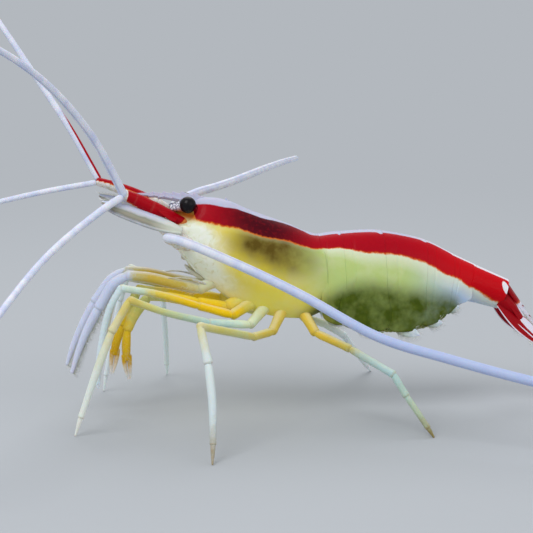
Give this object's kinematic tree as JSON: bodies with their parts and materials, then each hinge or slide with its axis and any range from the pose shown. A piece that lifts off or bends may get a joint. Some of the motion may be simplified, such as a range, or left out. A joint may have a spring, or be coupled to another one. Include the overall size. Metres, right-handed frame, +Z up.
{
  "type": "cleaner shrimp",
  "caption": "Life-size model of a Pacific cleaner shrimp standing on its legs with long feelers spread, carrying eggs under its tail.",
  "frame": {"origin": "on the floor, under the middle of the whole animal's box with its feelers", "axes": "+X towards the tail and -X towards the head, +Y towards the animal's right side, +Z up from the floor"},
  "size_m": [0.1104, 0.0942, 0.0612],
  "materials": {
    "carapace_shell": "glossy thin shell, yellow flanks under a red back with a white line",
    "ring_shell": "glossy translucent shell, pale green under a red back with a white line",
    "tail_fan": "glossy thin plates, red with white edges and spots",
    "eggs": "wet, olive green",
    "eye": "polished black",
    "eyestalk": "glossy white with a dark network",
    "feeler_stalk": "glossy red with white joints",
    "antennal_scale": "satin white with fine lengthwise lines",
    "feelers": "satin white, finely ringed",
    "upper_limbs": "glossy amber yellow",
    "lower_limbs": "glossy white with a yellow tint towards the joints"
  },
  "bodies": {
    "root": {"abdomen_1": "ring_shell", "abdomen_2": "ring_shell", "abdomen_3": "ring_shell", "abdomen_4": "ring_shell", "abdomen_5": "ring_shell", "abdomen_6": "ring_shell", "antenna_base_left": "feeler_stalk", "antenna_base_right": "feeler_stalk", "antenna_flagellum_left": "feelers", "antenna_flagellum_right": "feelers", "antenna_scale_left": "antennal_scale", "antenna_scale_right": "antennal_scale", "antennule_inner_flagellum_left": "feelers", "antennule_inner_flagellum_right": "feelers", "antennule_left": "feeler_stalk", "antennule_outer_flagellum_left": "feelers", "antennule_outer_flagellum_right": "feelers", "antennule_right": "feeler_stalk", "carapace": "carapace_shell", "egg_mass": "eggs", "eye_left": "eye", "eye_right": "eye", "eyestalk_left": "eyestalk", "eyestalk_right": "eyestalk", "leg_1_arm_left": "upper_limbs", "leg_1_arm_right": "upper_limbs", "leg_1_claw_left": "upper_limbs", "leg_1_claw_right": "upper_limbs", "leg_2_lower_left": "lower_limbs", "leg_2_lower_right": "lower_limbs", "leg_2_upper_left": "upper_limbs", "leg_2_upper_right": "upper_limbs", "leg_3_lower_left": "lower_limbs", "leg_3_lower_right": "lower_limbs", "leg_3_upper_left": "upper_limbs", "leg_3_upper_right": "upper_limbs", "leg_4_lower_left": "lower_limbs", "leg_4_lower_right": "lower_limbs", "leg_4_upper_left": "upper_limbs", "leg_4_upper_right": "upper_limbs", "leg_5_lower_left": "lower_limbs", "leg_5_lower_right": "lower_limbs", "leg_5_upper_left": "upper_limbs", "leg_5_upper_right": "upper_limbs", "maxilliped_lower_left": "lower_limbs", "maxilliped_lower_right": "lower_limbs", "maxilliped_upper_left": "upper_limbs", "maxilliped_upper_right": "upper_limbs", "mouthparts": "carapace_shell", "telson": "tail_fan", "uropod_inner_left": "tail_fan", "uropod_inner_right": "tail_fan", "uropod_outer_left": "tail_fan", "uropod_outer_right": "tail_fan"}
  },
  "joints": []
}
